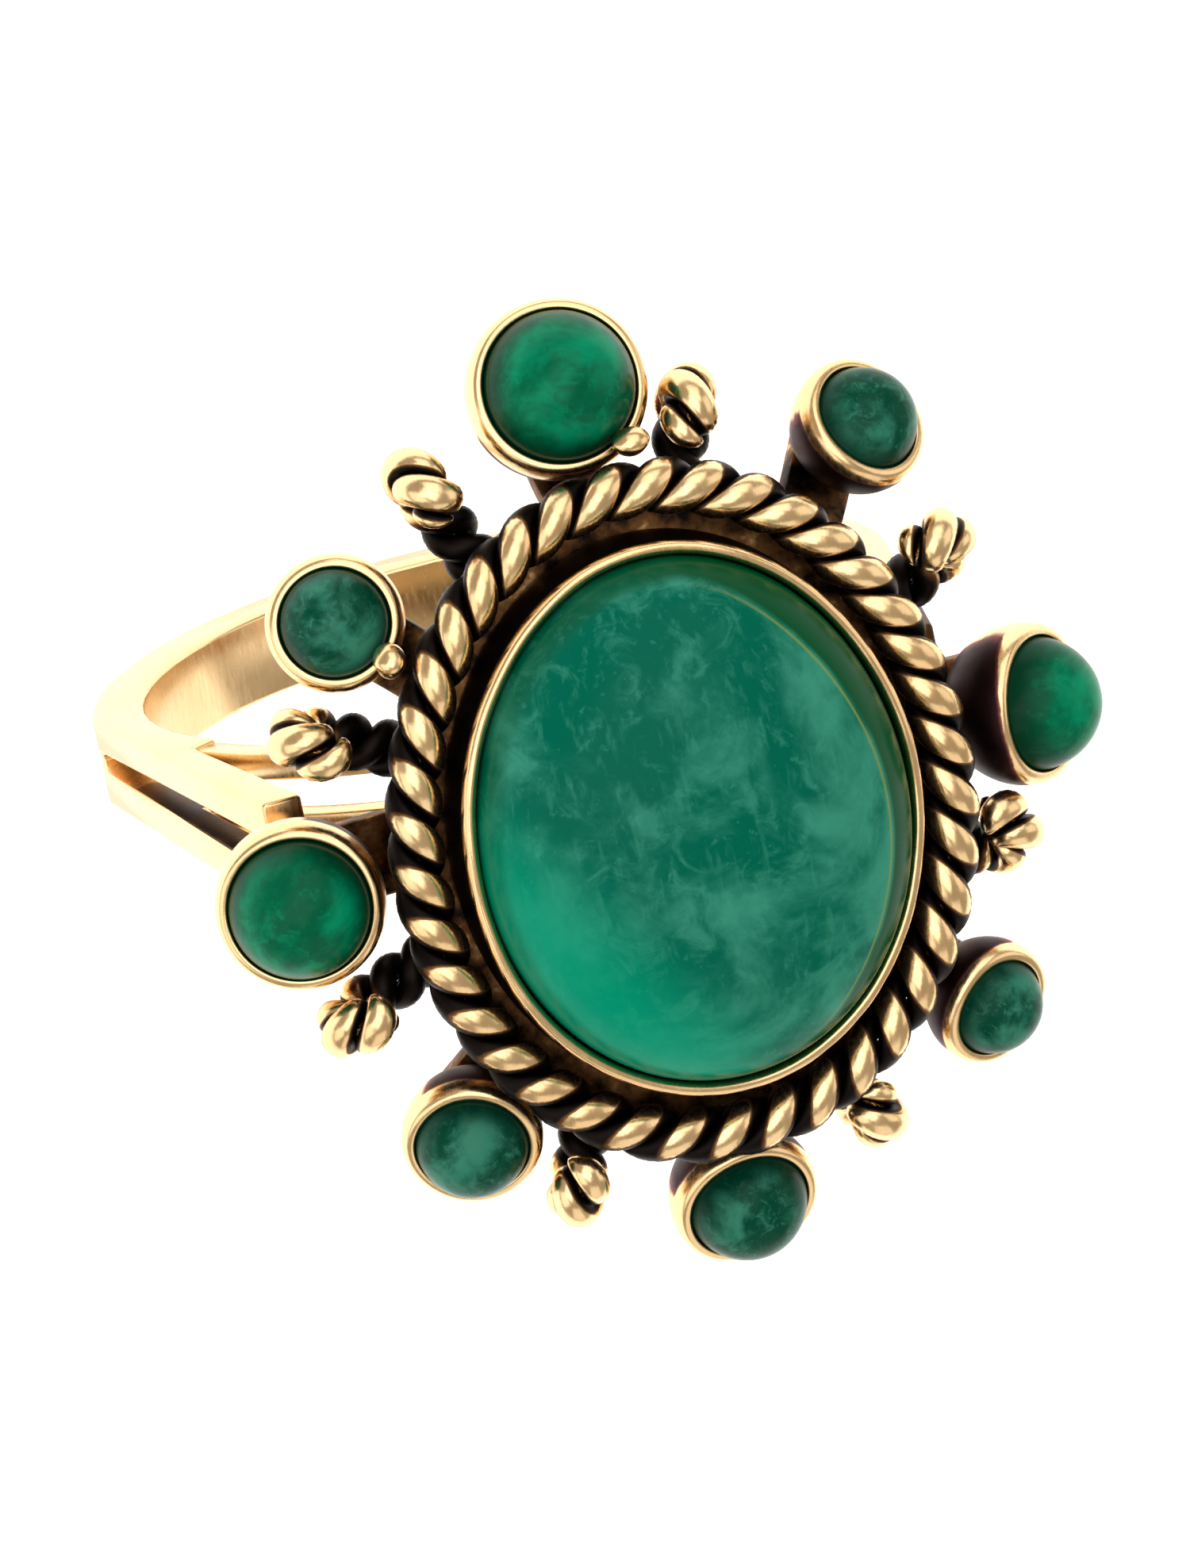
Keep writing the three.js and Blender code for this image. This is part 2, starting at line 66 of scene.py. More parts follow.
def addCamera(s):
    data = bpy.data.cameras.new("viewCamera")
    cam = bpy.data.objects.new("viewCamera", data)
    bpy.context.scene.collection.objects.link(cam)
    right, up, back = (Vector(s[k]).normalized() for k in ("right", "up", "back"))
    place = back * s["distance"] + right * s["aside"] - up * s["below"]
    turned = Matrix((right, up, back)).transposed().to_4x4()
    cam.matrix_world = Matrix.Translation(place) @ turned
    data.lens = s["lens"]
    data.sensor_width = s["sensor"]
    data.clip_start = 0.01
    data.clip_end = 5
    bpy.context.scene.camera = cam


def clearSelection():
    if bpy.context.object and bpy.context.object.mode != "OBJECT":
        bpy.ops.object.mode_set(mode="OBJECT")
    bpy.ops.object.select_all(action="DESELECT")


def makeActive(obj):
    clearSelection()
    obj.select_set(True)
    bpy.context.view_layer.objects.active = obj


floorSettings = {
    "size": 900 * mm,
    "gap": 0.05 * mm,  # between the ring's lowest point and the floor
    "colour": (0.95, 0.95, 0.95, 1),
    "rough": 0.9,
    "glow": 0.7,
}


def addFloor(s):
    clearSelection()
    bpy.ops.mesh.primitive_plane_add(size=s["size"], location=(0, 0, 0))
    floor = bpy.context.object
    floor.name = "paleFloor"
    bpy.ops.object.mode_set(mode="EDIT")
    bpy.ops.mesh.select_all(action="SELECT")
    bpy.ops.transform.translate(value=(0, 0, cadBox[0].z - s["gap"]))
    bpy.ops.object.mode_set(mode="OBJECT")
    mat = bpy.data.materials.new("palePaper")
    mat.use_nodes = True
    shader = mat.node_tree.nodes["Principled BSDF"]
    shader.inputs["Base Color"].default_value = s["colour"]
    shader.inputs["Roughness"].default_value = s["rough"]
    shader.inputs["Emission Color"].default_value = (1, 1, 1, 1)
    shader.inputs["Emission Strength"].default_value = s["glow"]
    floor.data.materials.append(mat)


lightSettings = {
    "world": 0.42,
    "worldColour": (1.0, 0.89, 0.76, 1),
    "lamps": [
        {"name": "broadSoftbox", "at": (-0.20, 0.16, 0.72), "size": 0.66, "power": 2.2},
        {"name": "topSoftbox", "at": (0.12, 0.48, 0.42), "size": 0.56, "power": 1.2},
        {"name": "leftSoftbox", "at": (-0.52, -0.10, 0.32), "size": 0.50, "power": 0.8},
        {"name": "rightSoftbox", "at": (0.50, 0.05, 0.26), "size": 0.40, "power": 0.35},
        {"name": "frontSoftbox", "at": (0.05, -0.52, 0.26), "size": 0.50, "power": 0.5},
    ],
}


def addLights(s):
    world = bpy.data.worlds.new("softRoom")
    world.use_nodes = True
    world.node_tree.nodes["Background"].inputs["Color"].default_value = s["worldColour"]
    world.node_tree.nodes["Background"].inputs["Strength"].default_value = s["world"]
    bpy.context.scene.world = world
    for lamp in s["lamps"]:
        data = bpy.data.lights.new(lamp["name"], "AREA")
        data.size = lamp["size"]
        data.energy = lamp["power"]
        obj = bpy.data.objects.new(lamp["name"], data)
        bpy.context.scene.collection.objects.link(obj)
        obj.location = lamp["at"]
        obj.rotation_mode = "QUATERNION"
        obj.rotation_quaternion = (-Vector(lamp["at"])).to_track_quat("-Z", "Y")


addCamera(cameraSettings)
addFloor(floorSettings)
addLights(lightSettings)
bpy.context.scene.view_settings.view_transform = "Standard"
print("camera, floor and light are in")


def newGroup(name, inputs, outputs):
    group = bpy.data.node_groups.new(name, "ShaderNodeTree")
    for label, kind, value in inputs:
        socket = group.interface.new_socket(label, in_out="INPUT", socket_type=kind)
        socket.default_value = value
    for label, kind in outputs:
        group.interface.new_socket(label, in_out="OUTPUT", socket_type=kind)
    entry = group.nodes.new("NodeGroupInput")
    leave = group.nodes.new("NodeGroupOutput")
    return group, entry, leave


# scale is per metre, as Object coordinates are
def addNoise(tree, coords, scale, detail, rough=0.55, distortion=0.0):
    noise = tree.nodes.new("ShaderNodeTexNoise")
    noise.inputs["Detail"].default_value = detail
    noise.inputs["Roughness"].default_value = rough
    noise.inputs["Distortion"].default_value = distortion
    if isinstance(scale, (int, float)):
        noise.inputs["Scale"].default_value = scale
    else:
        tree.links.new(scale, noise.inputs["Scale"])
    tree.links.new(coords, noise.inputs["Vector"])
    return noise.outputs["Fac"]


def addMath(tree, kind, a, b=None):
    node = tree.nodes.new("ShaderNodeMath")
    node.operation = kind
    for slot, value in ((0, a), (1, b)):
        if value is None:
            continue
        if isinstance(value, (int, float)):
            node.inputs[slot].default_value = value
        else:
            tree.links.new(value, node.inputs[slot])
    return node.outputs[0]


def addStep(tree, value, low, high, outLow=0.0, outHigh=1.0):
    node = tree.nodes.new("ShaderNodeMapRange")
    node.interpolation_type = "SMOOTHSTEP"
    node.inputs["From Min"].default_value = low
    node.inputs["From Max"].default_value = high
    node.inputs["To Min"].default_value = outLow
    node.inputs["To Max"].default_value = outHigh
    tree.links.new(value, node.inputs["Value"])
    return node.outputs["Result"]


def addMix(tree, share, a, b):
    node = tree.nodes.new("ShaderNodeMix")
    node.data_type = "RGBA"
    for socket, value in ((node.inputs[0], share), (node.inputs[6], a), (node.inputs[7], b)):
        if isinstance(value, (int, float, tuple)):
            socket.default_value = value
        else:
            tree.links.new(value, socket)
    return node.outputs[2]


# a noise centred on zero, times an amount
def addSwing(tree, noise, amount):
    return addMath(tree, "MULTIPLY", addMath(tree, "SUBTRACT", noise, 0.5), amount)


# a value times a factor, plus a base
def addScaled(tree, value, factor, base):
    return addMath(tree, "ADD", addMath(tree, "MULTIPLY", value, factor), base)


def objectCoords(tree, stretch=None):
    coords = tree.nodes.new("ShaderNodeTexCoord").outputs["Object"]
    if stretch is None:
        return coords
    mapping = tree.nodes.new("ShaderNodeMapping")
    mapping.inputs["Scale"].default_value = stretch
    tree.links.new(coords, mapping.inputs["Vector"])
    return mapping.outputs["Vector"]


def attributeValue(tree, name):
    node = tree.nodes.new("ShaderNodeAttribute")
    node.attribute_name = name
    return node.outputs["Fac"]


goldGrainSettings = {
    "castScale": 320,
    "blotchScale": 1500,
    "fineScale": 6500,
    "streakScale": 9000,
    "streakStretch": (1, 0.18, 1),
    "fineEdge": 0.12,
    "bareBetween": (0.42, 0.58),
    "stainBetween": (0.2, 0.5),
    "castGold": (0.8, 0.5, 0.22, 1),
    "castShare": 0.3,
    "polishedRough": 0.24,
    "dullRough": 0.3,
    "roughSwing": 0.3,
}


# gold that is bare where Bare is high and blackened where it is low
def buildWornGold(s):
    group, entry, leave = newGroup(
        "wornGold",
        [
            ("Bare", "NodeSocketFloat", 1.0),
            ("Gold", "NodeSocketColor", (0.95, 0.7, 0.4, 1)),
            ("Stain", "NodeSocketColor", (0.2, 0.09, 0.03, 1)),
            ("Black", "NodeSocketColor", (0.012, 0.009, 0.008, 1)),
            ("Breakup", "NodeSocketFloat", 0.25),
            ("Scratch", "NodeSocketFloat", 1.0),
        ],
        [("Color", "NodeSocketColor"), ("Roughness", "NodeSocketFloat"), ("Height", "NodeSocketFloat")],
    )
    coords = objectCoords(group)
    cast = addNoise(group, coords, s["castScale"], 2)
    blotch = addNoise(group, coords, s["blotchScale"], 5)
    fine = addNoise(group, coords, s["fineScale"], 3)
    streaks = addNoise(group, objectCoords(group, s["streakStretch"]), s["streakScale"], 4)

    ragged = addMath(group, "ADD", addSwing(group, blotch, entry.outputs["Breakup"]), entry.outputs["Bare"])
    ragged = addMath(group, "ADD", ragged, addSwing(group, fine, s["fineEdge"]))
    bare = addStep(group, ragged, *s["bareBetween"])
    stained = addStep(group, ragged, *s["stainBetween"])
    dark = addMix(group, stained, entry.outputs["Black"], entry.outputs["Stain"])
    castShare = addStep(group, cast, 0.35, 0.65, 0.0, s["castShare"])
    tone = addMix(group, castShare, entry.outputs["Gold"], s["castGold"])
    colour = addMix(group, bare, dark, tone)

    scratch = addSwing(group, streaks, entry.outputs["Scratch"])
    rough = group.nodes.new("ShaderNodeMix")
    group.links.new(bare, rough.inputs[0])
    group.links.new(addScaled(group, blotch, s["roughSwing"], s["dullRough"]), rough.inputs[2])
    group.links.new(addScaled(group, scratch, s["roughSwing"], s["polishedRough"]), rough.inputs[3])
    height = addMath(group, "MULTIPLY", addMath(group, "ADD", fine, streaks), 0.5)
    group.links.new(colour, leave.inputs["Color"])
    group.links.new(rough.outputs[0], leave.inputs["Roughness"])
    group.links.new(height, leave.inputs["Height"])
    return group


wornGold = buildWornGold(goldGrainSettings)


def goldMaterial(name, s, bare=None):
    mat = bpy.data.materials.new(name)
    mat.use_nodes = True
    tree = mat.node_tree
    shader = tree.nodes["Principled BSDF"]
    shader.inputs["Metallic"].default_value = 1.0
    worn = tree.nodes.new("ShaderNodeGroup")
    worn.node_tree = wornGold
    for label in ("Gold", "Stain", "Black", "Breakup", "Scratch", "Bare"):
        if label in s:
            worn.inputs[label].default_value = s[label]
    if bare is not None:
        tree.links.new(bare(tree), worn.inputs["Bare"])
    bump = tree.nodes.new("ShaderNodeBump")
    bump.inputs["Strength"].default_value = s.get("bump", 0.15)
    bump.inputs["Distance"].default_value = s.get("relief", 0.02) * mm
    tree.links.new(worn.outputs["Height"], bump.inputs["Height"])
    tree.links.new(bump.outputs["Normal"], shader.inputs["Normal"])
    tree.links.new(worn.outputs["Color"], shader.inputs["Base Color"])
    tree.links.new(worn.outputs["Roughness"], shader.inputs["Roughness"])
    return mat


paleGold = (0.93, 0.67, 0.36, 1)
polishedGold = goldMaterial("polishedGold", {"Gold": paleGold, "Bare": 1.0, "Breakup": 0.1, "bump": 0.12})
# partly real oxide, partly painted shade: a darker, browner gold for the parts that sit in shadow under the
# head
oxideAndShadeGold = goldMaterial("oxideAndShadeGold", {
    "Gold": (0.55, 0.34, 0.15, 1), "Bare": 0.35, "Breakup": 0.9, "Stain": (0.22, 0.1, 0.035, 1), "bump": 0.4,
})


shankMaskSettings = {
    "eastTop": (5.0 * mm, 8.0 * mm),
    "eastSide": (0.0, 4.0 * mm),
    "slotHeights": (-2.7 * mm, 14.4 * mm),
    "slotHalfWidths": (0.27 * mm, 0.5 * mm),
    "slotDarkFrom": (-2.5 * mm, 1.5 * mm),
    "darkness": 0.68,
}


# painted shade: the slot's walls are painted dark, and the polish stops short of the head on the east
# shoulder
def shankMask(tree):
    s = shankMaskSettings
    place = tree.nodes.new("ShaderNodeSeparateXYZ")
    tree.links.new(objectCoords(tree), place.inputs[0])
    high = addStep(tree, place.outputs["Z"], *s["eastTop"])
    east = addStep(tree, place.outputs["X"], *s["eastSide"])
    edge = addStep(tree, place.outputs["Z"], *s["slotHeights"], *s["slotHalfWidths"])
    slot = addMath(tree, "LESS_THAN", addMath(tree, "ABSOLUTE", place.outputs["Y"]), edge)
    slot = addMath(tree, "MULTIPLY", slot, addStep(tree, place.outputs["Z"], *s["slotDarkFrom"]))
    dark = addMath(tree, "MAXIMUM", addMath(tree, "MULTIPLY", high, east), slot)
    return addMath(tree, "SUBTRACT", 1.0, addMath(tree, "MULTIPLY", dark, s["darkness"]))


maskSettings = {
    "ropeCrown": (0.12, 0.78),
    "scrollCrown": (0.2, 0.8),
    "scrollOuter": (0.35, 0.6),
    "cupFacing": (-0.75, 0.15),
    "cupFacingShare": 0.85,
    "cupRim": (0.62, 0.86),
    "bezelRim": (0.8, 0.97),
}


# the masks are 1 where rubbing keeps the gold bare, and fall to 0 where it stays black
def ropeMask(tree):
    return addStep(tree, attributeValue(tree, "crown"), *maskSettings["ropeCrown"])


def scrollMask(tree):
    crown = addStep(tree, attributeValue(tree, "crown"), *maskSettings["scrollCrown"])
    outer = addStep(tree, attributeValue(tree, "outer"), *maskSettings["scrollOuter"])
    return addMath(tree, "MULTIPLY", crown, outer)


def cupMask(tree):
    facing = addStep(tree, attributeValue(tree, "facing"), *maskSettings["cupFacing"])
    facing = addMath(tree, "MULTIPLY", facing, maskSettings["cupFacingShare"])
    rim = addStep(tree, attributeValue(tree, "rimward"), *maskSettings["cupRim"])
    return addMath(tree, "MAXIMUM", facing, rim)


def bezelMask(tree):
    return addStep(tree, attributeValue(tree, "rimward"), *maskSettings["bezelRim"])


ropeGold = goldMaterial("ropeGold", {
    "Gold": paleGold, "Breakup": 0.22, "bump": 0.2, "relief": 0.03,
}, ropeMask)
scrollGold = goldMaterial("scrollGold", {
    "Gold": paleGold, "Breakup": 0.3, "bump": 0.2, "relief": 0.03,
}, scrollMask)
cupGold = goldMaterial("cupGold", {
    "Gold": paleGold, "Breakup": 0.35, "bump": 0.15,
    "Stain": (0.2, 0.065, 0.06, 1), "Black": (0.03, 0.013, 0.014, 1),
}, cupMask)
shankGold = goldMaterial("shankGold", {"Gold": paleGold, "Breakup": 0.3, "bump": 0.1}, shankMask)
bezelGold = goldMaterial("bezelGold", {"Gold": paleGold, "Breakup": 0.3, "bump": 0.15}, bezelMask)


cloudSettings = {
    "veilFiner": 3.3,
    "glintSpeckFiner": 11.0,
    "streakScale": 3600,
    "streakStretch": (1, 0.22, 1),
    "cloudBetween": (0.4, 0.66),
    "cloudShare": 0.95,
    "wispsBetween": (0.5, 0.72),
    "glintSpecksBetween": (0.62, 0.74),
    "glintSpeckShare": 0.4,
    "streaksBetween": (0.55, 0.72),
    "roughBetween": (0.2, 0.32),
}


# cloudy green stone: Body inside, Milk in the clouds, and painted glints as small specks of Milk
def buildCloudyStone(s):
    group, entry, leave = newGroup(
        "cloudyStone",
        [
            ("Body", "NodeSocketColor", (0.0, 0.2, 0.12, 1)),
            ("Milk", "NodeSocketColor", (0.1, 0.35, 0.25, 1)),
            ("Cloud Scale", "NodeSocketFloat", 300.0),
            ("Cloudiness", "NodeSocketFloat", 0.5),
            ("HazeAndSheen", "NodeSocketFloat", 0.0),
            ("Streaks", "NodeSocketFloat", 0.2),
        ],
        [("Color", "NodeSocketColor"), ("Roughness", "NodeSocketFloat"), ("Height", "NodeSocketFloat")],
    )
    coords = objectCoords(group)
    milk, scale = entry.outputs["Milk"], entry.outputs["Cloud Scale"]
    cloud = addNoise(group, coords, scale, 6, 0.6, 0.4)
    veil = addNoise(group, coords, addMath(group, "MULTIPLY", scale, s["veilFiner"]), 5, 0.65, 0.8)
    # painted glints: small bright specks of the milky colour that stand in for highlights
    glintSpeck = addNoise(group, coords, addMath(group, "MULTIPLY", scale, s["glintSpeckFiner"]), 3)
    grain = addNoise(group, objectCoords(group, s["streakStretch"]), s["streakScale"], 3)

    cloudAndSheen = addMath(group, "ADD", cloud, entry.outputs["HazeAndSheen"])
    cloudy = addStep(group, cloudAndSheen, *s["cloudBetween"], 0.0, s["cloudShare"])
    colour = addMix(group, cloudy, entry.outputs["Body"], milk)
    for noise, between, amount in (
        (veil, s["wispsBetween"], entry.outputs["Cloudiness"]),
        (glintSpeck, s["glintSpecksBetween"], s["glintSpeckShare"]),
        (grain, s["streaksBetween"], entry.outputs["Streaks"]),
    ):
        share = addMath(group, "MULTIPLY", addStep(group, noise, *between), amount)
        colour = addMix(group, share, colour, milk)
    group.links.new(colour, leave.inputs["Color"])
    group.links.new(addStep(group, veil, 0.3, 0.8, *s["roughBetween"]), leave.inputs["Roughness"])
    group.links.new(veil, leave.inputs["Height"])
    return group


cloudyStone = buildCloudyStone(cloudSettings)


emeraldIor = 1.57
stoneRelief = 0.02 * mm


# share is 0 at the dome's top and 1 at its girdle, and painted edge shade darkens the stone near the girdle
def stoneMaterial(name, s, paintInside=None):
    mat = bpy.data.materials.new(name)
    mat.use_nodes = True
    tree = mat.node_tree
    shader = tree.nodes["Principled BSDF"]
    shader.inputs["IOR"].default_value = emeraldIor
    shader.inputs["Specular IOR Level"].default_value = s["shine"]
    stone = tree.nodes.new("ShaderNodeGroup")
    stone.node_tree = cloudyStone
    for label in ("Body", "Milk", "Cloud Scale", "Cloudiness", "Streaks"):
        stone.inputs[label].default_value = s[label]
    share, edgeShare, colour = attributeValue(tree, "share"), 1.0, stone.outputs["Color"]
    if paintInside:
        share, edgeShare, colour = paintInside(tree, stone, share, s)
    edge = addMath(tree, "MULTIPLY", addStep(tree, share, s["edgeFrom"], s["edgeTo"]), edgeShare)
    colour = addMix(tree, edge, colour, s["EdgeShade"])
    bump = tree.nodes.new("ShaderNodeBump")
    bump.inputs["Strength"].default_value = 0.05
    bump.inputs["Distance"].default_value = stoneRelief
    tree.links.new(stone.outputs["Height"], bump.inputs["Height"])
    tree.links.new(bump.outputs["Normal"], shader.inputs["Normal"])
    tree.links.new(colour, shader.inputs["Base Color"])
    tree.links.new(stone.outputs["Roughness"], shader.inputs["Roughness"])
    return mat


# what shows through the centre stone's dome: milky haze on the east side that is partly a painted sheen, a
# painted glow low in the west, the girdle as a thin olive line that stands further in on the east side, and
# painted edge shade that is weaker on the lit west side
def paintCentre(tree, stone, share, s):
    eastward, northward = attributeValue(tree, "eastward"), attributeValue(tree, "northward")
    tree.links.new(addStep(tree, eastward, *s["hazeAndSheenBetween"], *s["hazeAndSheenWestEast"]), stone.inputs["HazeAndSheen"])
    share = addMath(tree, "ADD", share, addStep(tree, eastward, *s["shiftBetween"], 0.0, s["lineShift"]))
    fromLine = addMath(tree, "ABSOLUTE", addMath(tree, "SUBTRACT", share, s["lineAt"]))
    line = addMath(tree, "MULTIPLY", addStep(tree, fromLine, *s["lineWidth"], 1.0, 0.0),
                   addStep(tree, eastward, *s["lineBetween"], 0.0, s["lineStrength"]))
    # painted light: a bright green patch low in the southwest of the stone, though nothing there gives light
    southward = addMath(tree, "MULTIPLY", northward, -s["paintedGlowSouth"])
    southwest = addMath(tree, "SUBTRACT", southward, addMath(tree, "MULTIPLY", eastward, s["paintedGlowWest"]))
    glow = addMath(tree, "MULTIPLY", addStep(tree, southwest, *s["paintedGlowBetween"]), s["paintedGlowStrength"])
    colour = addMix(tree, glow, stone.outputs["Color"], s["glow"])
    colour = addMix(tree, line, colour, s["line"])
    # the painted edge shade is weaker on the west side, where light falls
    edgeShare = addStep(tree, eastward, *s["edgeBetween"], s["westEdge"], 1.0)
    return share, edgeShare, colour


centreEmerald = stoneMaterial("centreEmerald", {
    "EdgeShade": (0.0, 0.07, 0.02, 1), "Body": (0.0, 0.12, 0.073, 1), "Milk": (0.04, 0.28, 0.19, 1),
    "Cloud Scale": 330.0, "Cloudiness": 0.6, "Streaks": 0.35, "edgeFrom": 0.925, "edgeTo": 0.96,
    "shine": 0.03,
    "hazeAndSheenBetween": (-0.6, 0.7), "hazeAndSheenWestEast": (-0.06, 0.06),
    "shiftBetween": (0.1, 0.8), "lineShift": 0.12,
    "line": (0.2, 0.27, 0.05, 1), "lineAt": 0.925, "lineWidth": (0.003, 0.01),
    "lineBetween": (0.1, 0.6), "lineStrength": 0.7,
    "glow": (0.0, 0.33, 0.19, 1), "paintedGlowSouth": 0.6, "paintedGlowWest": 0.7,
    "paintedGlowBetween": (0.35, 0.75), "paintedGlowStrength": 0.75,
    "edgeBetween": (-0.7, 0.4), "westEdge": 0.35,
}, paintCentre)
brightEmerald = stoneMaterial("brightEmerald", {
    "EdgeShade": (0.0, 0.03, 0.012, 1), "Body": (0.0, 0.1, 0.045, 1), "Milk": (0.0, 0.27, 0.13, 1),
    "Cloud Scale": 520.0, "Cloudiness": 0.5, "Streaks": 0.1, "edgeFrom": 0.66, "edgeTo": 1.0,
    "shine": 0.06,
})
darkEmerald = stoneMaterial("darkEmerald", {
    "EdgeShade": (0.0, 0.025, 0.013, 1), "Body": (0.0, 0.055, 0.03, 1), "Milk": (0.035, 0.21, 0.14, 1),
    "Cloud Scale": 800.0, "Cloudiness": 0.75, "Streaks": 0.1, "edgeFrom": 0.7, "edgeTo": 1.0,
    "shine": 0.06,
})
print("materials are in")


def applyModifier(obj, kind, **values):
    makeActive(obj)
    mod = obj.modifiers.new(kind.title(), kind)
    for key, value in values.items():
        setattr(mod, key, value)
    bpy.ops.object.modifier_apply(modifier=mod.name)


def editAll(obj):
    makeActive(obj)
    bpy.ops.object.mode_set(mode="EDIT")
    bpy.ops.mesh.select_all(action="SELECT")


# rings: (half across, half along, height) in mm; joined rings close on themselves
def turnRings(name, rings, sides, joined):
    clearSelection()
    fill = "NOTHING" if joined else "NGON"
    bpy.ops.mesh.primitive_circle_add(vertices=sides, radius=mm, fill_type=fill, location=(0, 0, 0))
    obj = bpy.context.object
    obj.name = name
    bpy.ops.object.mode_set(mode="EDIT")
    bpy.ops.mesh.select_all(action="SELECT")
    across, along, height = rings[0]
    bpy.ops.transform.resize(value=(across, along, 1), center_override=(0, 0, 0))
    bpy.ops.transform.translate(value=(0, 0, height * mm))
    for nextAcross, nextAlong, nextHeight in rings[1:]:
        bpy.ops.mesh.extrude_region_move()
        growth = (nextAcross / across, nextAlong / along, 1)
        bpy.ops.transform.resize(value=growth, center_override=(0, 0, height * mm))
        bpy.ops.transform.translate(value=(0, 0, (nextHeight - height) * mm))
        across, along, height = nextAcross, nextAlong, nextHeight
    bpy.ops.mesh.select_all(action="SELECT")
    bpy.ops.mesh.remove_doubles(threshold=2 * weld)
    bpy.ops.mesh.normals_make_consistent(inside=False)
    bpy.ops.object.mode_set(mode="OBJECT")
    return obj


def smoothAll(obj, angle=40):
    makeActive(obj)
    bpy.ops.object.shade_smooth_by_angle(angle=math.radians(angle))


def addAttribute(obj, name, valueAt):
    layer = obj.data.attributes.new(name, "FLOAT", "POINT")
    for i, vertex in enumerate(obj.data.vertices):
        layer.data[i].value = valueAt(vertex.co)


def finishPiece(obj, mat, slot, *nodes):
    obj.data.materials.clear()
    obj.data.materials.append(mat)
    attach(obj, "root")
    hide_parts(*nodes)


# a CAD node's copy, welded, with its sharp edges rounded
def refineCopy(node, name, width, mat, slot, angle=35, segments=2):
    clearSelection()
    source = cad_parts[node]
    obj = source.copy()
    obj.data = source.data.copy()
    obj.name = name
    bpy.context.scene.collection.objects.link(obj)
    obj.hide_set(False)
    obj.hide_render = False
    editAll(obj)
    bpy.ops.mesh.remove_doubles(threshold=weld)
    bpy.ops.mesh.dissolve_limited(angle_limit=math.radians(1.0))
    bpy.ops.object.mode_set(mode="OBJECT")
    applyModifier(obj, "BEVEL", width=width * mm, segments=segments, limit_method="ANGLE",
                  angle_limit=math.radians(angle), use_clamp_overlap=True)
    editAll(obj)
    bpy.ops.mesh.remove_doubles(threshold=weld)
    bpy.ops.object.mode_set(mode="OBJECT")
    smoothAll(obj, 30)
    finishPiece(obj, mat, slot, node)


headSettings = {
    "offset": -0.3,  # the head's centre along the finger
    "egg": 0.02,
    "rim": (5.65, 6.78),
    "rimHeight": 16.8,
    "bezelBottom": 15.0,
    "wall": 0.36,
    "waves": ((3, 0.6, 0.035), (7, 0.0, 0.02), (17, 0.0, 0.012)),  # how often, phase, height
    "squeeze": 0.004,
    "play": 0.02,  # between the stone and the bezel
    "stoneBase": 15.5,
    "baseShare": 0.93,
    "girdleDrop": 0.35,
    "dome": 3.2,
    "domePower": 2.4,
    "domeShares": (0.985, 0.955, 0.91, 0.85, 0.77, 0.67, 0.55, 0.42, 0.28, 0.14, 0.04),
}


# slightly narrower towards the north end, and moved to the head's centre
def placeOnHead(obj):
    for vertex in obj.data.vertices:
        spread = math.hypot(vertex.co.x, vertex.co.y) or 1.0
        vertex.co.x *= 1 - headSettings["egg"] * vertex.co.y / spread
        vertex.co.y += headSettings["offset"] * mm


def makeBezel(s):
    x, y = s["rim"]
    top, low, wall = s["rimHeight"], s["bezelBottom"], s["wall"]
    section = [
        (0, low), (0, low + 0.5), (0, top - 0.5), (0.01, top - 0.2), (0.06, top - 0.05), (0.14, top),
        (wall - 0.12, top), (wall - 0.04, top - 0.05), (wall, top - 0.16), (wall, top - 0.6), (wall, low),
        (wall / 2, low - 0.01), (0, low),
    ]
    bezel = turnRings("centreBezel", [(x - inset, y - inset, z) for inset, z in section], 128, True)
    applyModifier(bezel, "SUBSURF", levels=1, render_levels=1)
    for vertex in bezel.data.vertices:  # hand-burnished, so never quite even
        angle = math.atan2(vertex.co.y, vertex.co.x)
        rimward = max(0.0, (vertex.co.z / mm - low) / (top - low))
        wave = sum(height * math.sin(often * angle + phase) for often, phase, height in s["waves"])
        vertex.co.z += wave * rimward * mm
        vertex.co.x *= 1 + s["squeeze"] * rimward * math.sin(5 * angle + 1.1)
        vertex.co.y *= 1 + s["squeeze"] * rimward * math.sin(4 * angle)
    addAttribute(bezel, "rimward", lambda co: (co.z / mm - low) / (top - low))
    placeOnHead(bezel)
    smoothAll(bezel, 60)
    finishPiece(bezel, bezelGold, "polished_gold", "center_bezel")


def makeCentreStone(s):
    x, y = (semi - s["wall"] - s["play"] for semi in s["rim"])
    base, girdle = s["stoneBase"], s["rimHeight"] - s["girdleDrop"]
    rings = [(x * s["baseShare"], y * s["baseShare"], base), (x, y, base + 0.2), (x, y, girdle)]
    for share in s["domeShares"]:
        rings.append((x * share, y * share, girdle + s["dome"] * math.sqrt(1 - share ** s["domePower"])))
    stone = turnRings("centreEmeraldStone", rings, 96, False)
    applyModifier(stone, "SUBSURF", levels=1, render_levels=1)
    addAttribute(stone, "share", lambda co: math.hypot(co.x / (x * mm), co.y / (y * mm)))
    addAttribute(stone, "eastward", lambda co: co.x / (x * mm))
    addAttribute(stone, "northward", lambda co: co.y / (y * mm))
    placeOnHead(stone)
    smoothAll(stone, 60)
    finishPiece(stone, centreEmerald, "cloudy_emerald", "emerald_center")


makeBezel(headSettings)
makeCentreStone(headSettings)
print("bezel and centre stone are in")


ropeSettings = {
    "core": (6.535, 7.895),
    "height": 15.695,
    "radius": 0.345,
    "offset": 0.35,
    "turns": 19,
    "sides": 24,
    "steps": 30,
    "spread": 86,  # degrees that half of a wire's section is curved round the other wire
    "crownAngle": 72,
    "crownReach": 92,
    "flankDrop": 0.75,
    "turnDrop": 0.5,
    "blackened": 0.3,
    "blackestAt": 0.04,
    "strands": (("ropeStrandA", "rope_strand_a", 0.0), ("ropeStrandB", "rope_strand_b", math.pi)),
}


